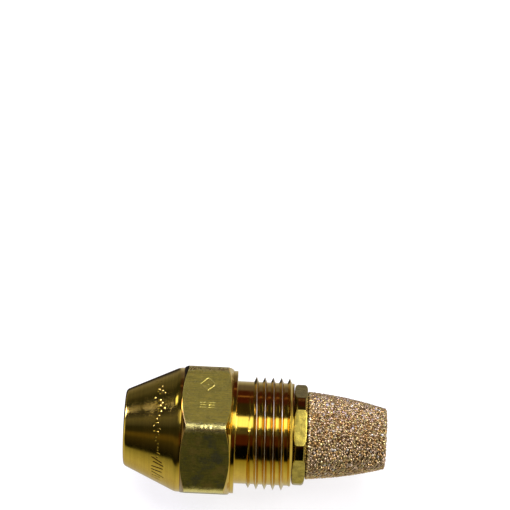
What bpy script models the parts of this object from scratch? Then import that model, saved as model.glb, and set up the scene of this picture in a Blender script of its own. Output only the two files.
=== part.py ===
"""Oil burner nozzle: a brass body that holds the spray pieces, with a sintered bronze filter
screwed into its back.

The nozzle lies on one flat of its hexagon. X runs along the spray axis, from the cone where the
oil leaves at -X to the filter at +X. The origin is on the ground under the middle of the nozzle.
Outlines are lists of (station, radius): a station is a distance behind the front face.
"""
import math

import bmesh
import bpy
from mathutils import Vector

# Whole nozzle, in metres
LENGTH = 0.0332
HEX_FLATS = 0.015875                # 5/8 inch hexagon bar
AXIS_HEIGHT = HEX_FLATS / 2
HEX_FLAT_ANGLE = math.radians(30)   # a flat faces straight down
CHAMFER_RUN = math.tan(math.radians(30))

# Roundness of the turned surfaces
TURN = 2 * math.pi
OUTER_SIDES = 48
INNER_SIDES = 24
WELD = 1e-7
SMOOTH_ANGLE = math.radians(28)

# Nozzle body, outside
NOSE_RADIUS = 0.0048                # where the cone would meet the front face
NOSE_ROUNDING = 0.0006
CONE_END = 0.00673
LAND_RADIUS = 0.0079
LAND_END = 0.0073
HEX_END = 0.01355
HEX_END_RADIUS = 0.00784
WASHER_RADIUS = 0.00778
SHOULDER = 0.0141
NECK_RADIUS = 0.0065

# 9/16-24 UNEF mounting thread
MAIN_PITCH = 0.0254 / 24
MAIN_CREST = 0.00712
MAIN_START = 0.015653
MAIN_TURNS = 256 / OUTER_SIDES      # a whole number of facets
MAIN_PHASE = 31 / OUTER_SIDES
BODY_END = MAIN_START + MAIN_TURNS * MAIN_PITCH
MAIN_RUN_IN = 0.00035
MAIN_CHAMFER = 0.00065

# Threads inside the body: metric fine, 1 mm pitch
FINE_PITCH = 0.001
THREAD_HEIGHT = 0.0006
THREAD_CLEARANCE = 0.00015          # radial, between a screw and its hole
THREAD_FADE = 0.0005
THREAD_FORM = ((0, 1), (1 / 8, 1), (7 / 16, 0), (11 / 16, 0))   # part of a pitch, height

# Nozzle body, inside
RECESS_RADIUS = 0.0026
SEAT_HOLE_RADIUS = 0.0018
RECESS_DEPTH = 0.0009
SEAT = 0.0014
DISC_BORE_RADIUS = 0.00325
DISC_BORE_END = 0.0047
CONE_BORE_RADIUS = 0.00335
LOCK_HOLE_START = 0.0072
LOCK_HOLE_END = 0.0132
LOCK_ROOT = 0.0034
CHAMBER_RADIUS = 0.0042
SPIGOT_HOLE_START = 0.0159
SPIGOT_ROOT = 0.0043

# Orifice disc
DISC_RADIUS = 0.0030
DISC_NOSE = 0.0011
DISC_NOSE_RADIUS = 0.0015
DISC_FRONT = 0.0017
DISC_BACK = 0.0044
ORIFICE_RADIUS = 0.0002
ORIFICE_END = 0.0020
SWIRL_RADIUS = 0.0007
SWIRL_END = 0.0026

# Distributor
SEAT_GAP = 0.0003
TIP_RADIUS = 0.0005
DISTRIBUTOR_RADIUS = 0.0029
DISTRIBUTOR_BACK = 0.0070
SLOT_COUNT = 4
SLOT_WIDTH = 0.00035
SLOT_DEPTH = 0.0004
SLOT_OFFSET = 0.00035
FEED_GROOVE_WIDTH = 0.0010
FEED_GROOVE_DEPTH = 0.0005

# Lock screw
LOCK_FRONT = 0.0073
LOCK_BACK = 0.0113
LOCK_HOLE_RADIUS = 0.0012
DRIVER_SLOT_WIDTH = 0.0010
DRIVER_SLOT_DEPTH = 0.0011

# Filter adapter
SPIGOT_FRONT = 0.0166
SPIGOT_THREAD_END = 0.0211
ADAPTER_BORE_RADIUS = 0.0030
COLLAR_FRONT = 0.0214
COLLAR_BACK = 0.02304
COLLAR_RADIUS = 0.00638
COLLAR_FLATS = 0.0119
COLLAR_FLAT_ANGLE = math.radians(54)
COLLAR_FRONT_RADIUS = 0.00592
COLLAR_FRONT_CHAMFER = 0.00025
COLLAR_BACK_RADIUS = 0.0058
COLLAR_BACK_CHAMFER = 0.0003
STUB_RADIUS = 0.0037
STUB_END = 0.0253

# Filter cup
CUP_FRONT = 0.0231
CUP_RADIUS = 0.0056
CUP_TAPER = 0.0642                  # loss of radius at the mouth, per length
CUP_BARREL = 10.8                   # further loss, per length squared
CUP_WALL = 0.0012
CUP_END_WALL = 0.0013
CUP_ROUNDING = 0.00045
CUP_STEPS = 6


def clear_scene():
    """Remove every object of the opened file."""
    for thing in list(bpy.data.objects):
        bpy.data.objects.remove(thing, do_unlink=True)


def make_material(name, colour, roughness):
    """A bare metal."""
    material = bpy.data.materials.new(name)
    material.use_nodes = True
    shader = material.node_tree.nodes["Principled BSDF"]
    shader.inputs["Base Color"].default_value = (*colour, 1)
    shader.inputs["Roughness"].default_value = roughness
    shader.inputs["Metallic"].default_value = 1
    return material


def on_ring(station, radius, angle):
    """A point round the axis; the angle runs from +Y towards +Z."""
    return Vector((station - LENGTH / 2, radius * math.cos(angle), radius * math.sin(angle)))


def add_skin(mesh, outline, sides):
    """Sweep outline(angle) once round the axis."""
    columns = []
    for index in range(sides + 1):
        angle = TURN * index / sides
        columns.append([mesh.verts.new(on_ring(*point, angle)) for point in outline(angle)])
    for near, far in zip(columns, columns[1:]):
        for low in range(len(near) - 1):
            mesh.faces.new((near[low], near[low + 1], far[low + 1], far[low]))


def add_flat_ring(mesh, station, outer_radius, inner_radius):
    """Close the end between a round outer edge and a coarser round inner edge."""
    share = OUTER_SIDES // INNER_SIDES
    for index in range(INNER_SIDES):
        edge = []
        for step in range(share + 1):
            angle = TURN * (index * share + step) / OUTER_SIDES
            edge.append(on_ring(station, outer_radius, angle))
        for step in (1, 0):
            angle = TURN * (index + step) / INNER_SIDES
            edge.append(on_ring(station, inner_radius, angle))
        mesh.faces.new([mesh.verts.new(point) for point in edge])


def turned(outline):
    """An outline that is the same all round."""
    return lambda angle: outline


def finish(name, mesh, material):
    """Weld the skins into one closed solid and put it on the nozzle's axis."""
    bmesh.ops.remove_doubles(mesh, verts=mesh.verts, dist=WELD)
    loose = [edge for edge in mesh.edges if not edge.link_faces]
    bmesh.ops.delete(mesh, geom=loose, context="EDGES")
    bmesh.ops.recalc_face_normals(mesh, faces=mesh.faces)
    data = bpy.data.meshes.new(name)
    mesh.to_mesh(data)
    mesh.free()
    data.materials.append(material)
    data.shade_smooth()
    data.set_sharp_from_angle(angle=SMOOTH_ANGLE)
    piece = bpy.data.objects.new(name, data)
    piece.location.z = AXIS_HEIGHT
    bpy.context.collection.objects.link(piece)
    return piece


def hexagon_radius(angle, across_flats, flat_angle):
    """Distance from the axis to a hexagon's side, in the direction of angle."""
    sixth = TURN / 6
    off_flat = (angle - flat_angle + sixth / 2) % sixth - sixth / 2
    return across_flats / 2 / math.cos(off_flat)


def thread_outline(angle, start, end, pitch, phase, base, height, fades, end_level=0):
    """One line along a right-hand thread.

    The ridge is `height` above the radius `base`. It grows over the first of the two fades, and
    over the second it comes to end_level: 0 leaves the base radius, 1 the full one.
    """
    turns = math.ceil((end - start) / pitch) + 1
    outline = []
    for turn in range(-2, turns + 1):
        for part, level in THREAD_FORM:
            station = start + (turn + part + phase + angle / TURN) * pitch
            station = min(max(station, start), end)
            grown = min((station - start) / fades[0], 1)
            ended = max(1 - (end - station) / fades[1], 0)
            level = level * grown
            level += (end_level - level) * ended
            outline.append((station, base + height * level))
    return outline


def arc(centre, radius, start, end, steps):
    """Points of an arc in the (station, radius) plane; angles from the station axis."""
    points = []
    for step in range(steps + 1):
        angle = start + (end - start) * step / steps
        points.append((centre[0] + radius * math.cos(angle), centre[1] + radius * math.sin(angle)))
    return points


def nose_outline():
    """The rounded edge between the front face and the cone."""
    slope = math.atan2(LAND_RADIUS - NOSE_RADIUS, CONE_END)
    turn = TURN / 4 - slope
    flat_end = NOSE_RADIUS - NOSE_ROUNDING * math.tan(turn / 2)
    return arc((NOSE_ROUNDING, flat_end), NOSE_ROUNDING, TURN / 2, TURN / 4 + slope, 3)


def body_outside(angle):
    """Cone, hexagon, washer face, neck and mounting thread."""
    hexagon = hexagon_radius(angle, HEX_FLATS, HEX_FLAT_ANGLE)
    outline = nose_outline()
    outline += [
        (CONE_END, LAND_RADIUS),
        (LAND_END, LAND_RADIUS),
        (LAND_END + (hexagon - LAND_RADIUS) * CHAMFER_RUN, hexagon),
        (HEX_END - (hexagon - HEX_END_RADIUS) * CHAMFER_RUN, hexagon),
        (HEX_END, HEX_END_RADIUS),
        (HEX_END, WASHER_RADIUS),
        (SHOULDER, WASHER_RADIUS),
        (SHOULDER, NECK_RADIUS),
    ]
    ridge = MAIN_CREST - NECK_RADIUS
    fades = (MAIN_RUN_IN, MAIN_CHAMFER)
    outline += thread_outline(angle, MAIN_START, BODY_END, MAIN_PITCH, MAIN_PHASE,
                              NECK_RADIUS, ridge, fades)
    return outline


def body_inside(angle):
    """Front recess, disc seat, and the two threaded holes, from the front face to the back."""
    fades = (THREAD_FADE, THREAD_FADE)
    lock_base = LOCK_ROOT + THREAD_CLEARANCE
    spigot_base = SPIGOT_ROOT + THREAD_CLEARANCE
    outline = [
        (0, RECESS_RADIUS),
        (RECESS_DEPTH, SEAT_HOLE_RADIUS),
        (SEAT, SEAT_HOLE_RADIUS),
        (SEAT, DISC_BORE_RADIUS),
        (DISC_BORE_END, DISC_BORE_RADIUS),
        (DISC_BORE_END, CONE_BORE_RADIUS),
        (LOCK_HOLE_START, CONE_BORE_RADIUS),
    ]
    outline += thread_outline(angle, LOCK_HOLE_START, LOCK_HOLE_END, FINE_PITCH, 0,
                              lock_base, THREAD_HEIGHT, fades, end_level=1)
    outline += [(LOCK_HOLE_END, CHAMBER_RADIUS), (SPIGOT_HOLE_START, CHAMBER_RADIUS)]
    outline += thread_outline(angle, SPIGOT_HOLE_START, BODY_END, FINE_PITCH, 0,
                              spigot_base, THREAD_HEIGHT, fades, end_level=1)
    return outline


def make_body(material):
    """The brass body, one turned piece of hexagon bar."""
    mesh = bmesh.new()
    add_skin(mesh, body_outside, OUTER_SIDES)
    add_skin(mesh, body_inside, INNER_SIDES)
    add_flat_ring(mesh, 0, nose_outline()[0][1], RECESS_RADIUS)
    mouth_radius = SPIGOT_ROOT + THREAD_CLEARANCE + THREAD_HEIGHT
    add_flat_ring(mesh, BODY_END, NECK_RADIUS, mouth_radius)
    return finish("nozzle_body", mesh, material)


def make_orifice_disc(material):
    """The steel disc with the spray hole and the cone seat behind it."""
    seat_radius = SWIRL_RADIUS + DISC_BACK - SWIRL_END
    outline = [
        (DISC_NOSE, ORIFICE_RADIUS),
        (DISC_NOSE, DISC_NOSE_RADIUS),
        (DISC_FRONT, DISC_NOSE_RADIUS),
        (DISC_FRONT, DISC_RADIUS),
        (DISC_BACK, DISC_RADIUS),
        (DISC_BACK, seat_radius),
        (SWIRL_END, SWIRL_RADIUS),
        (ORIFICE_END, ORIFICE_RADIUS),
        (DISC_NOSE, ORIFICE_RADIUS),
    ]
    mesh = bmesh.new()
    add_skin(mesh, turned(outline), INNER_SIDES)
    return finish("orifice_disc", mesh, material)


def add_cut(piece, name, size, place, rotation=(0, 0, 0)):
    """Cut a box out of a piece. The place is measured from the piece's own origin."""
    mesh = bmesh.new()
    bmesh.ops.create_cube(mesh, size=1)
    bmesh.ops.scale(mesh, vec=size, verts=mesh.verts)
    data = bpy.data.meshes.new(name)
    mesh.to_mesh(data)
    mesh.free()
    cutter = bpy.data.objects.new(name, data)
    cutter.parent = piece
    cutter.location = place
    cutter.rotation_euler = rotation
    cutter.hide_render = True
    cutter.display_type = "WIRE"
    bpy.context.collection.objects.link(cutter)
    cut = piece.modifiers.new(name, "BOOLEAN")
    cut.operation = "DIFFERENCE"
    cut.solver = "EXACT"
    cut.object = cutter


def make_distributor(material):
    """The steel swirl cone, with slanted slots across its cone and feed grooves behind."""
    seat_start = SWIRL_END - SWIRL_RADIUS + SEAT_GAP * math.sqrt(2)
    tip = seat_start + TIP_RADIUS
    cone_end = seat_start + DISTRIBUTOR_RADIUS
    outline = [
        (tip, TIP_RADIUS),
        (cone_end, DISTRIBUTOR_RADIUS),
        (DISTRIBUTOR_BACK, DISTRIBUTOR_RADIUS),
    ]
    mesh = bmesh.new()
    add_skin(mesh, turned(outline), INNER_SIDES)
    bmesh.ops.remove_doubles(mesh, verts=mesh.verts, dist=WELD)
    bmesh.ops.holes_fill(mesh, edges=mesh.edges, sides=INNER_SIDES)
    piece = finish("distributor", mesh, material)
    slot_size = (3 * DISTRIBUTOR_RADIUS, SLOT_WIDTH, 2 * SLOT_DEPTH)
    middle = Vector(((tip + cone_end) / 2 - LENGTH / 2, 0, 0))
    for index in range(SLOT_COUNT):
        angle = TURN * index / SLOT_COUNT
        outward = Vector((0, math.cos(angle), math.sin(angle)))
        sideways = Vector((0, -math.sin(angle), math.cos(angle)))
        place = middle + outward * (TIP_RADIUS + DISTRIBUTOR_RADIUS) / 2 + sideways * SLOT_OFFSET
        rotation = (angle - TURN / 4, -TURN / 8, 0)
        add_cut(piece, "swirl_slot_cutter_%d" % (index + 1), slot_size, place, rotation)
    groove_size = (2 * FEED_GROOVE_DEPTH, 3 * DISTRIBUTOR_RADIUS, FEED_GROOVE_WIDTH)
    back = Vector((DISTRIBUTOR_BACK - LENGTH / 2, 0, 0))
    for index in range(2):
        rotation = (index * TURN / 4, 0, 0)
        add_cut(piece, "feed_groove_cutter_%d" % (index + 1), groove_size, back, rotation)
    return piece


def lock_screw_outside(angle):
    """The lock screw's thread, with its two ends."""
    outline = [(LOCK_FRONT, LOCK_HOLE_RADIUS)]
    phase = (LOCK_HOLE_START - LOCK_FRONT) / FINE_PITCH
    outline += thread_outline(angle, LOCK_FRONT, LOCK_BACK, FINE_PITCH, phase,
                              LOCK_ROOT, THREAD_HEIGHT, (THREAD_FADE, THREAD_FADE))
    outline += [(LOCK_BACK, LOCK_HOLE_RADIUS), (LOCK_FRONT, LOCK_HOLE_RADIUS)]
    return outline


def make_lock_screw(material):
    """The brass screw that holds the distributor in its seat."""
    mesh = bmesh.new()
    add_skin(mesh, lock_screw_outside, INNER_SIDES)
    piece = finish("lock_screw", mesh, material)
    slot_size = (2 * DRIVER_SLOT_DEPTH, 3 * LOCK_ROOT, DRIVER_SLOT_WIDTH)
    add_cut(piece, "driver_slot_cutter", slot_size, (LOCK_BACK - LENGTH / 2, 0, 0))
    return piece


def spigot_outside(angle):
    """The adapter's threaded front end."""
    phase = (SPIGOT_HOLE_START - SPIGOT_FRONT) / FINE_PITCH
    outline = [(SPIGOT_FRONT, ADAPTER_BORE_RADIUS)]
    outline += thread_outline(angle, SPIGOT_FRONT, SPIGOT_THREAD_END, FINE_PITCH, phase,
                              SPIGOT_ROOT, THREAD_HEIGHT, (THREAD_FADE, THREAD_FADE))
    outline.append((COLLAR_FRONT, SPIGOT_ROOT))
    return outline


def collar_outside(angle):
    """The adapter's head: round, with six flats for a spanner."""
    flat = hexagon_radius(angle, COLLAR_FLATS, COLLAR_FLAT_ANGLE)
    radius = min(flat, COLLAR_RADIUS)
    front_part = (radius - COLLAR_FRONT_RADIUS) / (COLLAR_RADIUS - COLLAR_FRONT_RADIUS)
    back_part = (radius - COLLAR_BACK_RADIUS) / (COLLAR_RADIUS - COLLAR_BACK_RADIUS)
    return [
        (COLLAR_FRONT, COLLAR_FRONT_RADIUS),
        (COLLAR_FRONT + COLLAR_FRONT_CHAMFER * front_part, radius),
        (COLLAR_BACK - COLLAR_BACK_CHAMFER * back_part, radius),
        (COLLAR_BACK, COLLAR_BACK_RADIUS),
    ]


def make_adapter(material):
    """The brass adapter: threaded spigot, collar, and the stub that carries the filter cup."""
    stub = [
        (COLLAR_BACK, STUB_RADIUS),
        (STUB_END, STUB_RADIUS),
        (STUB_END, ADAPTER_BORE_RADIUS),
        (SPIGOT_FRONT, ADAPTER_BORE_RADIUS),
    ]
    mesh = bmesh.new()
    add_skin(mesh, spigot_outside, INNER_SIDES)
    add_flat_ring(mesh, COLLAR_FRONT, COLLAR_FRONT_RADIUS, SPIGOT_ROOT)
    add_skin(mesh, collar_outside, OUTER_SIDES)
    add_flat_ring(mesh, COLLAR_BACK, COLLAR_BACK_RADIUS, STUB_RADIUS)
    add_skin(mesh, turned(stub), INNER_SIDES)
    return finish("filter_adapter", mesh, material)


def cup_radius(station):
    """The barrel-shaped taper of the cup."""
    along = station - CUP_FRONT
    return CUP_RADIUS - CUP_TAPER * along - CUP_BARREL * along ** 2


def cup_outline(start, end, thinner, steps):
    """Points along the cup's taper, `thinner` inside its outer surface."""
    points = []
    for step in range(steps + 1):
        station = start + (end - start) * step / steps
        points.append((station, cup_radius(station) - thinner))
    return points


def make_cup(material):
    """The sintered bronze cup: closed at the back, open towards the adapter."""
    round_start = LENGTH - CUP_ROUNDING
    end_radius = cup_radius(round_start)
    outside = cup_outline(CUP_FRONT, round_start, 0, CUP_STEPS)
    outside += arc((round_start, end_radius - CUP_ROUNDING), CUP_ROUNDING, TURN / 4, 0, 3)[1:]
    outside.append((LENGTH, 0))
    inside = cup_outline(CUP_FRONT, LENGTH - CUP_END_WALL, CUP_WALL, CUP_STEPS)
    inside.append((LENGTH - CUP_END_WALL, 0))
    mesh = bmesh.new()
    add_skin(mesh, turned(outside), OUTER_SIDES)
    add_skin(mesh, turned(inside), INNER_SIDES)
    add_flat_ring(mesh, CUP_FRONT, CUP_RADIUS, CUP_RADIUS - CUP_WALL)
    return finish("filter_cup", mesh, material)


def main():
    """Build the six pieces."""
    clear_scene()
    brass = make_material("brass", (0.62, 0.44, 0.16), 0.28)
    steel = make_material("stainless_steel", (0.56, 0.55, 0.53), 0.25)
    bronze = make_material("sintered_bronze", (0.33, 0.22, 0.13), 0.45)
    make_body(brass)
    make_orifice_disc(steel)
    make_distributor(steel)
    make_lock_screw(brass)
    make_adapter(brass)
    make_cup(bronze)


main()
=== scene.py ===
"""Looks of the oil burner nozzle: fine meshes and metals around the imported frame.

Outlines are lists of (station, radius) as in the CAD source: a station is a distance behind the
front face, along +X, and every turned piece stands round the spray axis.
"""
import math

import bmesh
import bpy
import numpy as np
from mathutils import Matrix, Vector, kdtree


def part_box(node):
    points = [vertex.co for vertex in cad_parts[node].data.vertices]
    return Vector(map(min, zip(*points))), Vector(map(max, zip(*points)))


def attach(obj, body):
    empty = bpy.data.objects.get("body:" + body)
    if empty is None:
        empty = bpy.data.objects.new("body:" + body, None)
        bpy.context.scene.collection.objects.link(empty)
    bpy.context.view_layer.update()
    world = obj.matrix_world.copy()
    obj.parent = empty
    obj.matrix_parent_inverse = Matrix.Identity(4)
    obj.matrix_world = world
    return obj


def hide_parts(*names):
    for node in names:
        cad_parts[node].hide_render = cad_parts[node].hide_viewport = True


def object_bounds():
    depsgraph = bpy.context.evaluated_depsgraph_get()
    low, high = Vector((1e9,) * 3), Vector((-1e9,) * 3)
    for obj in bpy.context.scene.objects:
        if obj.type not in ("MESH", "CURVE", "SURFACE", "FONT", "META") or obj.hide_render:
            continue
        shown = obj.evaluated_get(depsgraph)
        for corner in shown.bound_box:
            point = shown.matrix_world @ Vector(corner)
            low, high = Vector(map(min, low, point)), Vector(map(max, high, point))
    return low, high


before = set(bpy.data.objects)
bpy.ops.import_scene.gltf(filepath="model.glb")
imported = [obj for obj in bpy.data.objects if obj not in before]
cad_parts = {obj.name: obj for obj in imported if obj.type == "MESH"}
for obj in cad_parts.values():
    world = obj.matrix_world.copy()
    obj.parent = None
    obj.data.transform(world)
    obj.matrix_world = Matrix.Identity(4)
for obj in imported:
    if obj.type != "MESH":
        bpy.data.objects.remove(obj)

TURN = 2 * math.pi
MM = 0.001
CAD_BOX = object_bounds()
BODY_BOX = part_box("nozzle_body")
ADAPTER_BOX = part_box("filter_adapter")
CUP_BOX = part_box("filter_cup")

# From the frame: where the front face, the axis and the pieces' ends are
FRONT = BODY_BOX[0].x
LENGTH = CUP_BOX[1].x - FRONT
HEX_FLATS = BODY_BOX[1].z - BODY_BOX[0].z
AXIS_HEIGHT = BODY_BOX[0].z + HEX_FLATS / 2
BODY_END = BODY_BOX[1].x - FRONT
SPIGOT_FRONT = ADAPTER_BOX[0].x - FRONT
STUB_END = ADAPTER_BOX[1].x - FRONT
CUP_FRONT = CUP_BOX[0].x - FRONT

# Body, outside
HEX_FLAT_ANGLE = math.radians(30)
HEX_CROWN = 8.99 * MM
HEX_CROWN_WANDER = 0.035 * MM
HEX_CROWN_WAVES = ((0.36, 0.5), (0.84, 0.3), (1.72, 0.2))  # waves a millimetre, share
HEX_CROWN_SOFTNESS = 0.05 * MM
HEX_EDGE = 0.07 * MM
CHAMFER_RUN = math.tan(math.radians(30))
NOSE_RADIUS = 4.8 * MM
NOSE_ROUNDING = 0.6 * MM
CONE_END = 6.73 * MM
LAND_RADIUS = 7.9 * MM
LAND_END = 7.3 * MM
LAND_SLOPE = math.radians(3)
LAND_BEND = 0.5 * MM
HEX_END = 13.55 * MM
HEX_END_RADIUS = 7.84 * MM
WASHER_RADIUS = 7.78 * MM
SHOULDER = 14.1 * MM
NECK_RADIUS = 6.5 * MM
EDGE = 0.06 * MM
SEAM = 0.05 * MM
ZONE_GAP = 0.1 * MM  # bridged where zones of different columns meet

# Mounting thread
MAIN_PITCH = 25.4 * MM / 24
MAIN_START = 15.653 * MM
MAIN_PHASE = 31 / 48
MAIN_HEIGHT = 0.62 * MM
MAIN_RUN_IN = 0.35 * MM
MAIN_CHAMFER = 0.65 * MM
MAIN_CREST = 0.05 * MM
MAIN_FLANK = 0.27 * MM

# Threads inside
FINE_PITCH = 1 * MM
FINE_HEIGHT = 0.6 * MM
FINE_CREST = FINE_PITCH / 8
FINE_FLANK = FINE_PITCH * 5 / 16
FINE_CLEARANCE = 0.15 * MM
FINE_FADE = 0.5 * MM

# Body, inside
RECESS_RADIUS = 2.6 * MM
SEAT_HOLE_RADIUS = 1.8 * MM
RECESS_DEPTH = 0.9 * MM
SEAT = 1.4 * MM
DISC_BORE_RADIUS = 3.25 * MM
DISC_BORE_END = 4.7 * MM
CONE_BORE_RADIUS = 3.35 * MM
LOCK_HOLE_START = 7.2 * MM
LOCK_HOLE_END = 13.2 * MM
LOCK_ROOT = 3.4 * MM
CHAMBER_RADIUS = 4.2 * MM
SPIGOT_HOLE_START = 15.9 * MM
SPIGOT_ROOT = 4.3 * MM

# Orifice disc
DISC_RADIUS = 3 * MM
DISC_NOSE = 1.1 * MM
DISC_NOSE_RADIUS = 1.5 * MM
DISC_FRONT = 1.7 * MM
DISC_BACK = 4.4 * MM
ORIFICE_RADIUS = 0.2 * MM
ORIFICE_END = 2 * MM
SWIRL_RADIUS = 0.7 * MM
SWIRL_END = 2.6 * MM

# Filter adapter
SPIGOT_THREAD_END = 21.1 * MM
ADAPTER_BORE_RADIUS = 3 * MM
COLLAR_FRONT = 21.4 * MM
COLLAR_BACK = 23.04 * MM
COLLAR_RADIUS = 6.38 * MM
COLLAR_FLATS = 11.9 * MM
COLLAR_FLAT_ANGLE = math.radians(54)
COLLAR_FRONT_RADIUS = 5.92 * MM
COLLAR_FRONT_CHAMFER = 0.25 * MM
COLLAR_BACK_RADIUS = 5.8 * MM
COLLAR_BACK_CHAMFER = 0.3 * MM
STUB_RADIUS = 3.7 * MM

# Filter cup and the bronze beads that it is sintered from
CUP_RADIUS = 5.6 * MM
CUP_TAPER = 0.0642
CUP_BARREL = 10.8
CUP_WALL = 1.2 * MM
CUP_END_WALL = 1.3 * MM
CUP_ROUNDING = 0.45 * MM
BEAD_RADIUS = 0.19 * MM
BEAD_GAP = 0.29 * MM
BEAD_LAYERS = (0.0, 0.10 * MM)
BEAD_FLOOR = 0.26 * MM  # how far under the skin the gaps between beads end
BEAD_REACH = 0.47 * MM  # no bead centre further than this from the skin can show
BEAD_TRIES = 14
BEAD_MESH = 0.05 * MM
CUP_DIMPLE = 0.05 * MM
PLAIN = (0.5, 0.2)  # tone and hollow where there is no bead

# Column counts round the axis, and the least angle between columns
CONE_COLUMNS = 864
BODY_COLUMNS = 192
BORE_COLUMNS = 96
LEAST_STEP = math.radians(0.12)


def even_angles(count):
    """Column angles, with the closing one."""
    return [TURN * index / count for index in range(count + 1)]


def columns_with(extra):
    """The body's even columns with extra ones among them, thinned, with the closing one."""
    angles = even_angles(BODY_COLUMNS)[:-1] + list(extra)
    ordered = sorted(set(round(angle % TURN, 9) for angle in angles))
    kept = [ordered[0]]
    for angle in ordered[1:]:
        if angle - kept[-1] > LEAST_STEP:
            kept.append(angle)
    return kept + [kept[0] + TURN]


def place_piece(name, data, body, node, sharp=None):
    """Make an object of a mesh, smooth-shaded, riding on its body in place of its CAD node."""
    mesh = bmesh.new()
    mesh.from_mesh(data)
    bmesh.ops.recalc_face_normals(mesh, faces=mesh.faces)
    mesh.to_mesh(data)
    mesh.free()
    data.shade_smooth()
    if sharp is not None:
        data.set_sharp_from_angle(angle=sharp)
    piece = bpy.data.objects.new(name, data)
    bpy.context.scene.collection.objects.link(piece)
    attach(piece, body)
    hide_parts(node)


class Turned:
    """A closed mesh made of zones swept round the axis, welded by position."""

    def __init__(self):
        self.points = []
        self.faces = []
        self.zones = []
        self.known = {}

    def corner(self, station, radius, angle):
        """The number of the vertex at a place, made if it is new."""
        place = (FRONT + station, radius * math.cos(angle), AXIS_HEIGHT + radius * math.sin(angle))
        key = tuple(round(value * 1e7) for value in place)
        if key not in self.known:
            self.known[key] = len(self.points)
            self.points.append(place)
        return self.known[key]

    def face(self, corners, zone):
        """Add a face, unless it has shrunk to a line."""
        ring = [c for c, before in zip(corners, corners[-1:] + corners[:-1]) if c != before]
        if len(set(ring)) >= 3:
            self.faces.append(ring)
            self.zones.append(zone)

    def sweep(self, outline, angles, zone):
        """Faces along outline(angle) from angle to angle. Returns its two open rings."""
        lines = [[self.corner(*point, angle) for point in outline(angle)] for angle in angles]
        rows = len(lines[0]) - 1
        zones = zone(rows) if callable(zone) else [zone] * rows
        for near, far in zip(lines, lines[1:]):
            for low in range(rows):
                self.face([near[low], near[low + 1], far[low + 1], far[low]], zones[low])
        first = [(angle, line[0]) for angle, line in zip(angles, lines)]
        last = [(angle, line[-1]) for angle, line in zip(angles, lines)]
        return first, last

    def bridge(self, one, other, zone):
        """A strip of triangles between two rings with different columns."""
        here, there = 0, 0
        while here < len(one) - 1 or there < len(other) - 1:
            ahead = one[here + 1][0] if here < len(one) - 1 else math.inf
            beyond = other[there + 1][0] if there < len(other) - 1 else math.inf
            if ahead <= beyond:
                self.face([one[here][1], one[here + 1][1], other[there][1]], zone)
                here += 1
            else:
                self.face([one[here][1], other[there + 1][1], other[there][1]], zone)
                there += 1

    def build(self, name, body, node, materials, sharp=math.radians(40)):
        """Make the object, each zone in its own material."""
        data = bpy.data.meshes.new(name)
        data.from_pydata(self.points, [], self.faces)
        data.polygons.foreach_set("material_index", self.zones)
        for material in materials:
            data.materials.append(material)
        place_piece(name, data, body, node, sharp)


def rounded(corners, steps=4):
    """A line through (station, radius, rounding) corners, each eased by its own rounding."""
    line = [corners[0][:2]]
    for before, corner, after in zip(corners, corners[1:], corners[2:]):
        here = Vector(corner[:2])
        back = Vector(before[:2]) - here
        on = Vector(after[:2]) - here
        reach = min(corner[2], 0.45 * back.length, 0.45 * on.length)
        start = here + back.normalized() * reach
        end = here + on.normalized() * reach
        for step in range(steps + 1):
            share = step / steps
            point = start * (1 - share) ** 2 + here * 2 * share * (1 - share) + end * share ** 2
            line.append(tuple(point))
    line.append(corners[-1][:2])
    return line


def arc(centre, radius, start, end, steps):
    """Points of an arc in the (station, radius) plane; angles from the station axis."""
    station, height = centre
    angles = np.linspace(start, end, steps + 1)
    return [(station + radius * math.cos(a), height + radius * math.sin(a)) for a in angles]


def thread_form(pitch, height, crest, flank, rounding, steps):
    """One pitch of a thread's outline as (part of a pitch, level from 0 to 1)."""
    corners = [(0, height), (crest, height), (crest + flank, 0), (pitch - flank, 0)]
    corners = [(-flank, 0)] + corners + [(pitch, height)]
    corners = [(along, up, rounding) for along, up in corners]
    return [(along / pitch, up / height) for along, up in rounded(corners, steps)[1:-1]]


def thread_line(angle, start, end, pitch, phase, base, height, form, fades, end_level=0):
    """One line along a right-hand thread that grows out of the radius `base` and ends in it."""
    turns = math.ceil((end - start) / pitch) + 1
    line = [(start, base)]
    for turn in range(-2, turns + 1):
        for part, level in form:
            station = start + (turn + part + phase + angle / TURN) * pitch
            station = min(max(station, start), end)
            level = level * min((station - start) / fades[0], 1)
            level += (end_level - level) * max(1 - (end - station) / fades[1], 0)
            line.append((station, base + height * level))
    line.append((end, base + height * end_level))
    return line


def hexagon_radius(angle, across_flats, flat_angle, crown=None):
    """Distance from the axis to a hexagon's side, its corners worn down to the radius crown."""
    sixth = TURN / 6
    off_flat = (angle - flat_angle + sixth / 2) % sixth - sixth / 2
    radius = across_flats / 2 / math.cos(off_flat)
    if crown is None:
        return radius
    soft = HEX_CROWN_SOFTNESS
    return crown - soft * math.log(1 + math.exp((crown - radius) / soft))


# -------- marks pressed into the metal

MARK_DEPTH = 0.06 * MM
MARK_WIDTH = 0.1 * MM

# Strokes round the cone, short ones and then long ones
BAND_START = 3.4 * MM
BAND_END = 5.8 * MM
BAND_ROW = 0.06 * MM
BAND_MARGIN = 0.2 * MM
BAND_FROM = math.radians(60)
LONG_FROM = math.radians(156)
BAND_TO = math.radians(194)
LONG_DEPTH = 1.2

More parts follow.
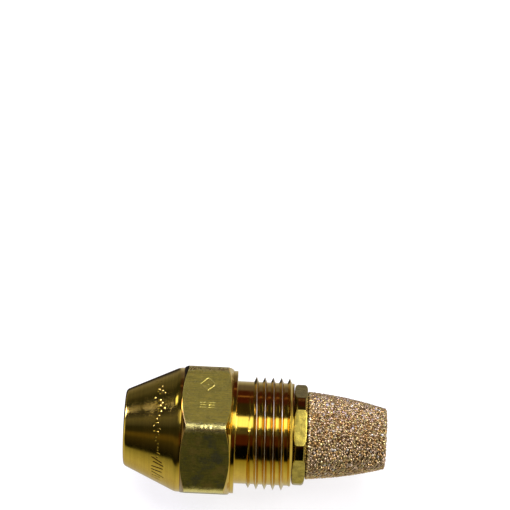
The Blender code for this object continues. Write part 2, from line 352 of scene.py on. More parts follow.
# Stamps in the hexagon's top flat: a diamond with a dot, and two columns of dashes
STAMP_AT = (10.45 * MM, 1.8 * MM)
STAMP_SIZE = 0.95 * MM
STAMP_DOT = 0.01 * MM
DASH_ROWS = (-0.95 * MM, -1.3 * MM, -1.65 * MM)
DASH_STATIONS = (9.65 * MM, 10.75 * MM)
DASH_LENGTH = 0.6 * MM
STAMPED_STATIONS = (9.3 * MM, 11.9 * MM)
STAMPED_ACROSS = (-1.9 * MM, 3.1 * MM)
STAMPED_HALF_ANGLE = math.radians(25)
FINE_ROW = 0.05 * MM
COARSE_ROW = 0.25 * MM


def stroke(across, along, ends):
    """How deep a pressed V-shaped stroke is at a point, from 0 to 1. Ends are its two ends."""
    (u0, v0), (u1, v1) = ends
    du, dv = u1 - u0, v1 - v0
    squared = du * du + dv * dv
    share = 0
    if squared > 0:
        share = min(max(((across - u0) * du + (along - v0) * dv) / squared, 0), 1)
    away = math.hypot(across - u0 - share * du, along - v0 - share * dv)
    return max(1 - away / MARK_WIDTH, 0)


def band_strokes():
    """Plain strokes round the cone: (angle, from, to, slant, depth)."""
    draw = np.random.default_rng(11)
    strokes = []
    angle = BAND_FROM
    while angle < BAND_TO:
        low = draw.choice([0.15, 0.3, 0.45])
        high = low + draw.choice([0.0, 0.02, 0.1, 0.3])
        slant = draw.uniform(0.0, 0.06)
        gap = draw.uniform(2.8, 4.6)
        depth = 1
        if angle > LONG_FROM:
            low, high = draw.uniform(0.08, 0.25), draw.uniform(0.65, 0.9)
            slant = draw.uniform(-0.12, 0.36)
            gap = draw.uniform(4.6, 6.2)
            depth = LONG_DEPTH
        strokes.append((angle, low, high, slant, depth))
        angle += math.radians(gap)
    return strokes


BAND_STROKES = band_strokes()


def cone_mark(station, radius, angle):
    """Depth of the strokes engraved round the cone."""
    deepest = 0
    front = BAND_START + BAND_MARGIN
    reach = BAND_END - BAND_MARGIN - front
    for place, low, high, slant, depth in BAND_STROKES:
        off = ((angle - place + math.pi) % TURN - math.pi) * radius
        if abs(off) < 1.2 * MM:
            ends = ((-slant * MM, front + low * reach), (slant * MM, front + high * reach))
            deepest = max(deepest, depth * stroke(off, station, ends))
    return deepest


def diamond(at, size):
    """The four strokes of an upright square."""
    x, y = at
    corners = [(x - size, y), (x, y + size), (x + size, y), (x, y - size)]
    return list(zip(corners, corners[1:] + corners[:1]))


def stamp_strokes():
    """The diamond, its dot and the dashes, as strokes on the top flat."""
    strokes = diamond(STAMP_AT, STAMP_SIZE)
    strokes.append((STAMP_AT, (STAMP_AT[0] + STAMP_DOT, STAMP_AT[1])))
    for row in DASH_ROWS:
        for start in DASH_STATIONS:
            strokes.append(((start, row), (start + DASH_LENGTH, row)))
    return strokes


STAMP_STROKES = stamp_strokes()


def flat_mark(station, across):
    """Depth of the marks stamped in the hexagon's top flat."""
    return max(stroke(station, across, ends) for ends in STAMP_STROKES)


# -------- the body

TURNED, DRAWN, INSIDE = 0, 1, 2  # the zones, in the order of a piece's materials
CHAMFER_ROWS = 3


def corner_crown(station, angle):
    """Radius of the hexagon's worn corners, which wanders a little along the bar."""
    corner = math.floor((angle - HEX_FLAT_ANGLE) / (TURN / 6)) % 6
    wave = 0
    for step, (count, share) in enumerate(HEX_CROWN_WAVES):
        wave += share * math.sin(TURN * (count * station / MM + 0.37 * step + 0.71 * corner))
    return HEX_CROWN + HEX_CROWN_WANDER * wave


CONE_SLOPE = math.atan2(LAND_RADIUS - NOSE_RADIUS, CONE_END)


def nose_line():
    """The rounded edge between the front face and the cone."""
    flat_end = NOSE_RADIUS - NOSE_ROUNDING * math.tan((TURN / 4 - CONE_SLOPE) / 2)
    return arc((NOSE_ROUNDING, flat_end), NOSE_ROUNDING, TURN / 2, TURN / 4 + CONE_SLOPE, 10)


def cone_radius(station):
    """Radius of the cone at a station."""
    return NOSE_RADIUS + (LAND_RADIUS - NOSE_RADIUS) * station / CONE_END


def front_line(angle):
    """Front face, nose and the start of the cone."""
    face_in = RECESS_RADIUS + EDGE
    nose = nose_line()
    line = [(0, face_in + (nose[0][1] - face_in) * step / 5) for step in range(5)]
    line += nose
    start = nose[-1][0]
    line += [(s, cone_radius(s)) for s in np.linspace(start, BAND_START - ZONE_GAP, 8)[1:]]
    return line


def band_line(angle):
    """The part of the cone that carries the engraved strokes."""
    line = []
    for station in np.arange(BAND_START, BAND_END + BAND_ROW / 2, BAND_ROW):
        radius = cone_radius(station)
        depth = MARK_DEPTH * cone_mark(station, radius, angle)
        line.append((station + depth * math.sin(CONE_SLOPE), radius - depth * math.cos(CONE_SLOPE)))
    return line


def land_line(angle):
    """The rest of the cone, and the bend into the land before the hexagon."""
    end = LAND_END - EDGE / 4
    cone_rise = (LAND_RADIUS - NOSE_RADIUS) / CONE_END
    land_rise = math.tan(LAND_SLOPE)
    corner = (LAND_RADIUS - NOSE_RADIUS - land_rise * end) / (cone_rise - land_rise)
    return rounded([
        (BAND_END + ZONE_GAP, cone_radius(BAND_END + ZONE_GAP), 0),
        (corner, cone_radius(corner), LAND_BEND),
        (end, LAND_RADIUS, 0),
    ], steps=10)


def hexagon_line(angle):
    """The hexagon bar with its turned chamfers."""
    def radius_at(station):
        return hexagon_radius(angle, HEX_FLATS, HEX_FLAT_ANGLE, corner_crown(station, angle))

    front_radius = radius_at(LAND_END)
    back_radius = radius_at(HEX_END)
    front = LAND_END + (front_radius - LAND_RADIUS) * CHAMFER_RUN
    back = HEX_END - (back_radius - HEX_END_RADIUS) * CHAMFER_RUN
    line = rounded([
        (LAND_END, LAND_RADIUS, 0),
        (front, front_radius, HEX_EDGE),
        (front + 0.4 * MM, front_radius, 0),
    ])[:-1]
    end_line = rounded([
        (back - 0.4 * MM, back_radius, 0),
        (back, back_radius, HEX_EDGE),
        (HEX_END, HEX_END_RADIUS, 0),
    ])[1:]
    first, last = line[-1][0], end_line[0][0]
    fine_start, fine_end = STAMPED_STATIONS
    rows = list(np.arange(LAND_END, fine_start, COARSE_ROW))
    rows += list(np.arange(fine_start, fine_end, FINE_ROW))
    rows += list(np.arange(fine_end, HEX_END, COARSE_ROW))
    for station in rows:
        station = min(max(station, first), last)
        radius = radius_at(station)
        if abs(angle - TURN / 4) < STAMPED_HALF_ANGLE:
            radius -= MARK_DEPTH * flat_mark(station, radius * math.cos(angle))
        line.append((station, radius))
    return line + end_line


def hexagon_angles():
    """Even columns, with more at the corners and under the stamped marks."""
    extra = []
    for corner in range(6):
        middle = HEX_FLAT_ANGLE + TURN / 6 * (corner + 0.5)
        extra += [middle + math.radians(step) for step in np.arange(-4.4, 4.5, 0.4)]
    for across in np.arange(*STAMPED_ACROSS, FINE_ROW):
        extra.append(math.atan2(HEX_FLATS / 2, across))
    return columns_with(extra)


def hexagon_zones(rows):
    """Turned chamfers at the two ends of the drawn flats."""
    return [TURNED] * CHAMFER_ROWS + [DRAWN] * (rows - 2 * CHAMFER_ROWS) + [TURNED] * CHAMFER_ROWS


def neck_line(angle):
    """Washer face, shoulder and neck."""
    return rounded([
        (HEX_END, HEX_END_RADIUS, 0),
        (HEX_END + 0.02 * MM, HEX_END_RADIUS - 0.01 * MM, 0),
        (HEX_END + SEAM, WASHER_RADIUS - SEAM, 0.02 * MM),
        (HEX_END + 2 * SEAM, WASHER_RADIUS, 0.03 * MM),
        (SHOULDER, WASHER_RADIUS, EDGE),
        (SHOULDER, NECK_RADIUS, 0.12 * MM),
        (SHOULDER + 0.5 * MM, NECK_RADIUS, 0),
        (MAIN_START - 0.05 * MM, NECK_RADIUS, 0),
    ])


MAIN_FORM = thread_form(MAIN_PITCH, MAIN_HEIGHT, MAIN_CREST, MAIN_FLANK, 0.03 * MM, 3)
FINE_FORM = thread_form(FINE_PITCH, FINE_HEIGHT, FINE_CREST, FINE_FLANK, 0.04 * MM, 2)


def main_thread_line(angle):
    """The mounting thread, chamfered at the back."""
    fades = (MAIN_RUN_IN, MAIN_CHAMFER)
    return thread_line(angle, MAIN_START, BODY_END, MAIN_PITCH, MAIN_PHASE,
                       NECK_RADIUS, MAIN_HEIGHT, MAIN_FORM, fades)


def front_bore_line(angle):
    """Front recess, seat and disc bore."""
    return rounded([
        (0, RECESS_RADIUS + EDGE, 0),
        (0, RECESS_RADIUS, EDGE),
        (RECESS_DEPTH, SEAT_HOLE_RADIUS, EDGE),
        (SEAT, SEAT_HOLE_RADIUS, EDGE),
        (SEAT, DISC_BORE_RADIUS, EDGE),
        (DISC_BORE_END, DISC_BORE_RADIUS, EDGE),
        (DISC_BORE_END + 0.1 * MM, CONE_BORE_RADIUS, EDGE),
        (LOCK_HOLE_START, CONE_BORE_RADIUS, 0),
    ])


def back_bore_line(angle):
    """The two threaded holes and the chamber between them."""
    fades = (FINE_FADE, FINE_FADE)
    lock_base = LOCK_ROOT + FINE_CLEARANCE
    spigot_base = SPIGOT_ROOT + FINE_CLEARANCE
    line = thread_line(angle, LOCK_HOLE_START, LOCK_HOLE_END, FINE_PITCH, 0,
                       lock_base, FINE_HEIGHT, FINE_FORM, fades, end_level=1)
    line += [(LOCK_HOLE_END, CHAMBER_RADIUS), (SPIGOT_HOLE_START, CHAMBER_RADIUS)]
    line += thread_line(angle, SPIGOT_HOLE_START, BODY_END, FINE_PITCH, 0,
                        spigot_base, FINE_HEIGHT, FINE_FORM, fades, end_level=1)
    return line


def make_body(materials):
    """The brass body, with its outside in zones of different fineness."""
    piece = Turned()
    even = even_angles(BODY_COLUMNS)
    fine = even_angles(CONE_COLUMNS)
    bore = even_angles(BORE_COLUMNS)
    face_ring, cone_ring = piece.sweep(front_line, even, TURNED)
    band_front, band_back = piece.sweep(band_line, fine, TURNED)
    land_front, land_back = piece.sweep(land_line, even, TURNED)
    hexagon_front, hexagon_back = piece.sweep(hexagon_line, hexagon_angles(), hexagon_zones)
    washer_ring, neck_ring = piece.sweep(neck_line, even, TURNED)
    thread_ring, mouth_ring = piece.sweep(main_thread_line, even, TURNED)
    recess_ring, cone_bore_ring = piece.sweep(front_bore_line, bore, INSIDE)
    lock_ring, spigot_ring = piece.sweep(back_bore_line, bore, INSIDE)
    for one, other, zone in (
            (recess_ring, face_ring, TURNED), (cone_ring, band_front, TURNED),
            (band_back, land_front, TURNED), (land_back, hexagon_front, TURNED),
            (hexagon_back, washer_ring, TURNED), (neck_ring, thread_ring, TURNED),
            (mouth_ring, spigot_ring, TURNED), (cone_bore_ring, lock_ring, INSIDE)):
        piece.bridge(one, other, zone)
    piece.build("body_shell", "root", "nozzle_body", materials)


# -------- disc and adapter

def disc_line(angle):
    """The steel disc with the spray hole and the cone seat behind it."""
    seat_radius = SWIRL_RADIUS + DISC_BACK - SWIRL_END
    return rounded([
        (DISC_NOSE + 0.3 * MM, ORIFICE_RADIUS, 0),
        (DISC_NOSE, ORIFICE_RADIUS, 0.03 * MM),
        (DISC_NOSE, DISC_NOSE_RADIUS, EDGE),
        (DISC_FRONT, DISC_NOSE_RADIUS, EDGE),
        (DISC_FRONT, DISC_RADIUS, EDGE),
        (DISC_BACK, DISC_RADIUS, EDGE),
        (DISC_BACK, seat_radius, EDGE),
        (SWIRL_END, SWIRL_RADIUS, EDGE),
        (ORIFICE_END, ORIFICE_RADIUS, 0.03 * MM),
        (DISC_NOSE + 0.3 * MM, ORIFICE_RADIUS, 0),
    ])


def make_disc(material):
    """The orifice disc."""
    piece = Turned()
    piece.sweep(disc_line, even_angles(BORE_COLUMNS), 0)
    piece.build("spray_disc", "root", "orifice_disc", [material])


def spigot_line(angle):
    """The adapter's bore and threaded front end."""
    phase = (SPIGOT_HOLE_START - SPIGOT_FRONT) / FINE_PITCH
    line = [(SPIGOT_FRONT, ADAPTER_BORE_RADIUS)]
    line += thread_line(angle, SPIGOT_FRONT, SPIGOT_THREAD_END, FINE_PITCH, phase,
                        SPIGOT_ROOT, FINE_HEIGHT, FINE_FORM, (FINE_FADE, FINE_FADE))
    line.append((COLLAR_FRONT, SPIGOT_ROOT))
    return line


def collar_line(angle):
    """The collar: round, with six spanner flats."""
    flat = hexagon_radius(angle, COLLAR_FLATS, COLLAR_FLAT_ANGLE)
    radius = min(flat, COLLAR_RADIUS)
    front_part = (radius - COLLAR_FRONT_RADIUS) / (COLLAR_RADIUS - COLLAR_FRONT_RADIUS)
    back_part = (radius - COLLAR_BACK_RADIUS) / (COLLAR_RADIUS - COLLAR_BACK_RADIUS)
    front = COLLAR_FRONT + 0.02 * MM + COLLAR_FRONT_CHAMFER * front_part ** 4
    back = COLLAR_BACK - 0.02 * MM - COLLAR_BACK_CHAMFER * back_part ** 4
    middle = (front + back) / 2
    line = rounded([
        (COLLAR_FRONT, COLLAR_FRONT_RADIUS - 0.2 * MM, 0),
        (COLLAR_FRONT, COLLAR_FRONT_RADIUS, 0.05 * MM),
        (front, radius, 0.09 * MM),
        (middle, radius, 0),
    ])[:-1]
    line += [(front * (1 - share) + back * share, radius) for share in np.linspace(0.25, 0.75, 5)]
    line += rounded([
        (middle, radius, 0),
        (back, radius, 0.09 * MM),
        (COLLAR_BACK, COLLAR_BACK_RADIUS, 0.05 * MM),
        (COLLAR_BACK, COLLAR_BACK_RADIUS - 0.2 * MM, 0),
    ])[1:]
    return line


def collar_angles():
    """Even columns, with more where a flat runs into the round."""
    half = math.acos(COLLAR_FLATS / 2 / COLLAR_RADIUS)
    extra = []
    for side in range(6):
        middle = COLLAR_FLAT_ANGLE + TURN / 6 * side
        for step in (-0.6, -0.2, 0.2, 0.6):
            off = half + math.radians(step)
            extra += [middle - off, middle + off]
    return columns_with(extra)


def stub_line(angle):
    """The stub that carries the filter cup, and the bore back to the front."""
    return rounded([
        (COLLAR_BACK, STUB_RADIUS + 0.1 * MM, 0),
        (COLLAR_BACK, STUB_RADIUS, 0.05 * MM),
        (STUB_END, STUB_RADIUS, EDGE),
        (STUB_END, ADAPTER_BORE_RADIUS, EDGE),
        (SPIGOT_FRONT, ADAPTER_BORE_RADIUS, 0),
    ])


def make_adapter(materials):
    """The brass adapter between the body and the cup."""
    piece = Turned()
    bore = even_angles(BORE_COLUMNS)
    _, root_ring = piece.sweep(spigot_line, bore, INSIDE)
    collar_front, collar_back = piece.sweep(collar_line, collar_angles(), DRAWN)
    stub_ring, _ = piece.sweep(stub_line, bore, TURNED)
    piece.bridge(root_ring, collar_front, DRAWN)
    piece.bridge(collar_back, stub_ring, DRAWN)
    piece.build("filter_collar", "adapter", "filter_adapter", materials,
                sharp=math.radians(35))


# -------- the sintered cup

def cup_radius(station):
    """The barrel-shaped taper of the cup."""
    along = station - CUP_FRONT
    return CUP_RADIUS - CUP_TAPER * along - CUP_BARREL * along ** 2


def cup_skin():
    """The cup's outside as (station, radius) points from the mouth to the end's middle."""
    lip = 0.12 * MM
    round_start = LENGTH - CUP_ROUNDING
    line = [(CUP_FRONT, CUP_RADIUS - CUP_WALL / 2), (CUP_FRONT, CUP_RADIUS - lip)]
    line += [(station, cup_radius(station)) for station in np.linspace(CUP_FRONT + lip, round_start, 40)]
    centre = (round_start, cup_radius(round_start) - CUP_ROUNDING)
    line += arc(centre, CUP_ROUNDING, TURN / 4, 0, 8)[1:]
    line.append((LENGTH, 0))
    return line


def resampled(line, spacing):
    """Even points along a line, with its ends, and how far along it each one is."""
    points = np.array(line)
    steps = np.hypot(*np.diff(points, axis=0).T)
    run = np.concatenate([[0], np.cumsum(steps)])
    count = max(int(round(run[-1] / spacing)), 2)
    even = np.linspace(0, run[-1], count + 1)
    return read_along(even, run, points), even


def read_along(distance, run, values):
    """Values given at the distances `run` along a line, read at another distance along it."""
    return np.array([np.interp(distance, run, values[:, k]) for k in range(2)]).T


def outward_normals(line):
    """Unit normals of a line that runs along the axis, pointing away from it."""
    tangent = np.gradient(line, axis=0)
    tangent /= np.hypot(*tangent.T)[:, None]
    return np.column_stack([-tangent[:, 1], tangent[:, 0]])


def stands_clear(kept, cell, place, gap):
    """Whether a place is at least a gap from the places kept in the cells near its own."""
    for row in range(cell[0] - 2, cell[0] + 3):
        for column in range(cell[1] - 2, cell[1] + 3):
            for other in kept.get((row, column), ()):
                if math.hypot(place[0] - other[0], place[1] - other[1]) < gap:
                    return False
    return True


def scatter_beads(draw, length, radius_at, gap):
    """Bead places (run, angle) no closer than the gap, thrown at random over a turned skin."""
    cell_size = gap / math.sqrt(2)
    kept = {}
    beads = []
    widest = max(radius_at(run) for run in np.linspace(0, length, 50))
    tries = int(BEAD_TRIES * length * TURN * widest / gap ** 2)
    runs = draw.uniform(0, length, tries)
    shares = draw.uniform(0, 1, tries)
    weights = draw.uniform(0, widest, tries)
    for run, share, weight in zip(runs, shares, weights):
        radius = radius_at(run)
        if weight > radius:
            continue
        place = (run, share * TURN * radius)
        cell = (int(place[0] / cell_size), int(place[1] / cell_size))
        if stands_clear(kept, cell, place, gap):
            kept.setdefault(cell, []).append(place)
            beads.append((run, share * TURN))
    return beads


def heap_beads(skin, normal, run):
    """The beads in their layers under the skin: a search tree of their centres, sizes, tones."""
    draw = np.random.default_rng(5)
    centres, sizes, tones = [], [], []

    def radius_at(distance):
        return max(read_along(distance, run, skin)[1], 1e-5)

    for layer, depth in enumerate(BEAD_LAYERS):
        for distance, angle in scatter_beads(draw, run[-1], radius_at, BEAD_GAP):
            place = read_along(distance, run, skin)
            out = read_along(distance, run, normal)
            size = BEAD_RADIUS * draw.uniform(0.78, 1.12)
            sunk = size + depth + draw.uniform(0, 0.05) * MM * (1 + layer)
            station, radius = place - out / np.hypot(*out) * sunk
            centres.append((FRONT + station, radius * math.cos(angle), radius * math.sin(angle)))
            sizes.append(size)
            tones.append(draw.uniform(0, 1))
    tree = kdtree.KDTree(len(centres))
    for index, centre in enumerate(centres):
        tree.insert(centre, index)
    tree.balance()
    return tree, sizes, tones


def top_bead(base, out, heap):
    """How high the beads reach over a point of the skin, and the tone of the one on top."""
    tree, sizes, tones = heap
    best, tone = -BEAD_FLOOR, 0.0
    for place, index, _ in tree.find_range(base, BEAD_REACH):
        dx, dy, dz = place[0] - base[0], place[1] - base[1], place[2] - base[2]
        lift = dx * out[0] + dy * out[1] + dz * out[2]
        aside = dx * dx + dy * dy + dz * dz - lift * lift
        size = sizes[index]
        if aside < size * size:
            top = lift + math.sqrt(size * size - aside)
            if top > best:
                best, tone = top, tones[index]
    return best, tone


class RingMesh:
    """A mesh of rings round the axis, with a bead tone and a hollow value at each point."""

    def __init__(self, columns):
        self.columns = columns
        self.points = []
        self.tones = []
        self.hollows = []
        self.faces = []

    def add(self, point, tone, hollow_shade):
        """Add a point, given from the axis, and return its number."""
        self.points.append((point[0], point[1], point[2] + AXIS_HEIGHT))
        self.tones.append(tone)
        self.hollows.append(hollow_shade)
        return len(self.points) - 1

    def add_plain_ring(self, station, radius):
        """Add a ring with no beads and return its first number."""
        first = len(self.points)
        for column in range(self.columns):
            angle = TURN * column / self.columns
            self.add((FRONT + station, radius * math.cos(angle), radius * math.sin(angle)), *PLAIN)
        return first

    def bridge(self, one, other):
        """Faces between the rings that start at two numbers."""
        for column in range(self.columns):
            on = (column + 1) % self.columns
            self.faces.append((one + column, one + on, other + on, other + column))

    def close(self, ring, point):
        """Faces between a ring and a point on the axis."""
        for column in range(self.columns):
            self.faces.append((ring + column, ring + (column + 1) % self.columns, point))


def add_bead_rings(cup):
    """The outside of the cup, ring by ring from the mouth, and the dimple in its end."""
    skin, run = resampled(cup_skin(), BEAD_MESH)
    normal = outward_normals(skin)
    heap = heap_beads(skin, normal, run)
    for row, ((station, radius), (out_s, out_r)) in enumerate(zip(skin[:-1], normal)):
        for column in range(cup.columns):
            angle = TURN / cup.columns * column
            c, s = math.cos(angle), math.sin(angle)
            base = (FRONT + station, radius * c, radius * s)
            out = (out_s, out_r * c, out_r * s)
            height, tone = top_bead(base, out, heap)
            point = [base[k] + out[k] * height for k in range(3)]
            cup.add(point, tone, min(max(-height / BEAD_FLOOR, 0), 1))
        if row > 0:
            cup.bridge((row - 1) * cup.columns, row * cup.columns)
    dimple = cup.add((FRONT + LENGTH - CUP_DIMPLE, 0, 0), *PLAIN)
    cup.close(dimple - cup.columns, dimple)


def add_plain_inside(cup):
    """The cup's plain inside, from the mouth's first ring back to the end wall."""
    back = LENGTH - CUP_END_WALL
    inside = [(CUP_FRONT, CUP_RADIUS - CUP_WALL * 0.75), (CUP_FRONT + 0.05 * MM, CUP_RADIUS - CUP_WALL)]
    for station in np.linspace(CUP_FRONT + 0.5 * MM, back, 12):
        inside.append((station, cup_radius(station) - CUP_WALL))
    previous = 0
    for station, radius in inside:
        ring = cup.add_plain_ring(station, radius)
        cup.bridge(previous, ring)
        previous = ring
    cup.close(previous, cup.add((FRONT + back, 0, 0), *PLAIN))


def make_cup(material):
    """The bronze cup, its outside made of fused beads."""
    cup = RingMesh(int(TURN * CUP_RADIUS / BEAD_MESH))
    add_bead_rings(cup)
    add_plain_inside(cup)
    data = bpy.data.meshes.new("bronze_cup")
    data.from_pydata(cup.points, [], cup.faces)
    for name, values in (("bead_tone", cup.tones), ("bead_hollow_shade", cup.hollows)):
        layer = data.attributes.new(name, "FLOAT", "POINT")
        layer.data.foreach_set("value", values)
    data.materials.append(material)
    place_piece("bronze_cup", data, "filter", "filter_cup")


# -------- materials

class Tree:
    """Short forms for building a node tree."""

    def __init__(self, tree):
        self.tree = tree

    def put(self, value, socket):
        """Link another node's output to a socket, or set the socket to a plain value."""
        if isinstance(value, bpy.types.NodeSocket):
            self.tree.links.new(value, socket)
        else:
            socket.default_value = value

    def node(self, kind, **settings):
        """A node with its properties set, and its sockets where a name starts with in_."""
        node = self.tree.nodes.new(kind)
        for name, value in settings.items():
            if name.startswith("in_"):
                key = name[3:]
                socket = node.inputs[int(key) if key.isdigit() else key.replace("_", " ")]
                self.put(value, socket)
            else:
                setattr(node, name, value)
        return node

    def math(self, operation, one, other=0.0):
        """One Math node's output."""
        return self.node("ShaderNodeMath", operation=operation, in_0=one, in_1=other).outputs[0]

    def noise(self, vector, scale, detail=2.0, rough=0.5):
        """One Noise node's value."""
        return self.node("ShaderNodeTexNoise", in_Vector=vector, in_Scale=scale,
                         in_Detail=detail, in_Roughness=rough).outputs["Fac"]

    def remap(self, value, low, high, to_low, to_high):
        """Map a value from one range to another, clamped."""
        return self.node("ShaderNodeMapRange", in_Value=value, in_From_Min=low, in_From_Max=high,
                         in_To_Min=to_low, in_To_Max=to_high).outputs[0]

    def ramp(self, value, stops, mode="LINEAR"):
        """A colour ramp through (place, colour) stops."""
        node = self.node("ShaderNodeValToRGB", in_Fac=value)
        ramp = node.color_ramp
        ramp.interpolation = mode
        while len(ramp.elements) > 1:
            ramp.elements.remove(ramp.elements[-1])
        for index, (place, colour) in enumerate(stops):
            element = ramp.elements[0] if index == 0 else ramp.elements.new(place)
            element.position = place
            element.color = (*colour, 1)
        return node.outputs["Color"]

    def mix(self, share, one, other, blend="MIX"):
        """A colour mix of two colours, each a plain colour or another node's output."""
        node = self.node("ShaderNodeMix", data_type="RGBA", blend_type=blend)
        colours = [socket for socket in node.inputs if socket.type == "RGBA"]
        self.put(share, node.inputs["Factor"])
        for socket, value in zip(colours, (one, other)):
            self.put((*value, 1) if isinstance(value, tuple) else value, socket)
        return [socket for socket in node.outputs if socket.type == "RGBA"][0]

    def from_axis(self, place):
        """A place's x, y and z, and its distance from the nozzle's axis."""
        x, y, z = self.node("ShaderNodeSeparateXYZ", in_0=place).outputs
        squares = self.math("ADD", self.math("MULTIPLY", y, y), self.math("MULTIPLY", z, z))
        return x, y, z, self.math("SQRT", squares)


def new_material(name, metallic=1.0):
    """A metal, its tree, and the place on the piece in millimetres from the axis."""
    material = bpy.data.materials.new(name)
    material.use_nodes = True
    material.node_tree.nodes["Principled BSDF"].inputs["Metallic"].default_value = metallic
    tree = Tree(material.node_tree)
    place = tree.node("ShaderNodeTexCoord").outputs["Object"]
    moved = tree.node("ShaderNodeVectorMath", operation="SUBTRACT", in_0=place,
                      in_1=(0, 0, AXIS_HEIGHT)).outputs[0]
    scaled = tree.node("ShaderNodeVectorMath", operation="SCALE", in_0=moved, in_Scale=1 / MM)
    return material, tree, scaled.outputs[0]


def finish_metal(material, tree, tint, rough, height, strength, depth):
    """Drive a metal's colour, roughness and bump, which is `depth` metres deep."""
    inputs = material.node_tree.nodes["Principled BSDF"].inputs
    bump = tree.node("ShaderNodeBump", in_Strength=strength, in_Distance=depth, in_Height=height)
    tree.put(tint, inputs["Base Color"])
    tree.put(rough, inputs["Roughness"])
    tree.put(bump.outputs[0], inputs["Normal"])
    return material


def lathe_lines(tree, place, scale):
    """Noise along the axis and with the radius but hardly round the axis, as tool lines are."""
    x, y, z, radius = tree.from_axis(place)
    slow = tree.math("MULTIPLY", tree.math("ARCTAN2", z, y), 0.05)
    vector = tree.node("ShaderNodeCombineXYZ", in_X=x, in_Y=radius, in_Z=slow).outputs[0]
    return tree.noise(vector, scale, 3.0, 0.6)


def turned_brass():
    """Lathe-turned brass: bright, with tool lines and smudges, pale thread crests that are part handling
    wear and part painted highlight, and painted shade on the hexagon's front chamfer.
    """
    material, tree, place = new_material("turned_brass")
    lines = lathe_lines(tree, place, 5.0)
    broad = lathe_lines(tree, place, 1.1)
    smudge = tree.noise(place, 0.55, 4.0, 0.6)
    spots = tree.noise(place, 3.2, 3.0, 0.6)
    tint = tree.mix(tree.remap(smudge, 0.35, 0.7, 0, 1), (0.80, 0.56, 0.085), (0.76, 0.50, 0.065))
    tint = tree.mix(tree.remap(spots, 0.58, 0.75, 0, 0.35), tint, (0.50, 0.27, 0.06))
    tint = tree.mix(tree.remap(lines, 0.4, 0.6, 0, 0.4), tint, (0.60, 0.40, 0.06))
    rough = tree.math("ADD", tree.remap(broad, 0.3, 0.7, 0.07, 0.14),
                      tree.remap(smudge, 0.45, 0.75, 0, 0.07))

    x, _, _, radius = tree.from_axis(place)
    # painted highlight: the thread crests are tinted pale, beyond their wear, to stand for the light
    # lines their rounding catches
    crest = (NECK_RADIUS + MAIN_HEIGHT) / MM
    handled_and_highlit = tree.math("MULTIPLY", tree.remap(radius, crest - 0.07, crest - 0.01, 0, 1),
                        tree.math("GREATER_THAN", x, (FRONT + MAIN_START) / MM))
    tint = tree.mix(handled_and_highlit, tint, (0.98, 0.90, 0.66))
    rough = tree.math("ADD", rough, tree.math("MULTIPLY", handled_and_highlit, 0.25))

    # painted shade: the hexagon's front chamfer is darkened to hold back the light it reflects
    land = LAND_RADIUS / MM
    chamfer_end = (FRONT + LAND_END) / MM + 1.0
    chamfer_painted_shade = tree.math("MULTIPLY", tree.remap(radius, land + 0.02, land + 0.08, 0, 0.75),
                        tree.math("LESS_THAN", x, chamfer_end))
    tint = tree.mix(chamfer_painted_shade, tint, (0.22, 0.12, 0.04))
    height = tree.math("ADD", lines, tree.math("MULTIPLY", tree.noise(place, 9.0), 0.25))
    return finish_metal(material, tree, tint, rough, height, 0.35, 0.0035 * MM)


def drawn_brass():
    """The bar's own surface: duller, drawn along its length, stained, with painted shade on every flat
    but the top one, and corners worn pale and given a painted highlight.
    """
    material, tree, place = new_material("drawn_brass", metallic=0.96)
    stretch = tree.node("ShaderNodeMapping", in_Vector=place, in_Scale=(0.22, 2.4, 2.4)).outputs[0]
    drawn = tree.noise(stretch, 3.6, 4.0, 0.68)
    blotch = tree.noise(place, 0.6, 4.0, 0.62)
    pits = tree.noise(place, 4.5, 3.0, 0.7)
    stain = tree.noise(place, 0.5, 4.0, 0.62)
    tint = tree.mix(tree.remap(blotch, 0.38, 0.62, 0, 1), (0.84, 0.69, 0.14), (0.56, 0.46, 0.095))
    tint = tree.mix(tree.remap(drawn, 0.45, 0.65, 0, 0.6), tint, (0.26, 0.21, 0.06))
    tint = tree.mix(tree.remap(pits, 0.60, 0.72, 0, 0.55), tint, (0.18, 0.14, 0.06))
    tint = tree.mix(tree.remap(pits, 0.42, 0.34, 0, 0.5), tint, (0.98, 0.84, 0.32))

    # painted shade: the flats other than the stamped one on top are darkened and greyed, and carry
    # stains
    _, _, z, radius = tree.from_axis(place)
    unshaded_top_flat = tree.remap(tree.math("DIVIDE", z, radius), 0.85, 0.88, 0, 1)
    side = tree.mix(1.0, tint, (0.52, 0.56, 0.50), "MULTIPLY")
    side = tree.mix(tree.remap(stain, 0.50, 0.66, 0, 0.6), side, (0.10, 0.11, 0.12))
    side = tree.mix(tree.remap(stain, 0.48, 0.36, 0, 0.6), side, (0.50, 0.36, 0.10))
    tint = tree.mix(unshaded_top_flat, side, tint)

    # painted highlight: the worn corners are tinted pale, beyond their wear, to stand for the bright
    # band of light they catch
    rag = tree.math("SUBTRACT", tree.noise(place, 1.8, 4.0, 0.68), 0.5)
    ragged = tree.math("ADD", radius, tree.math("MULTIPLY", rag, 0.45))
    worn_and_highlit = tree.remap(ragged, 8.76, 8.92, 0, 1)
    tint = tree.mix(worn_and_highlit, tint, (0.92, 0.80, 0.30))
    rough = tree.math("ADD", tree.remap(blotch, 0.3, 0.7, 0.30, 0.40),
                      tree.remap(drawn, 0.3, 0.7, -0.05, 0.07))
    rough = tree.math("SUBTRACT", rough, tree.math("MULTIPLY", worn_and_highlit, 0.10))
    height = tree.math("ADD", drawn, tree.math("MULTIPLY", pits, 0.8))
    return finish_metal(material, tree, tint, rough, height, 0.8, 0.03 * MM)


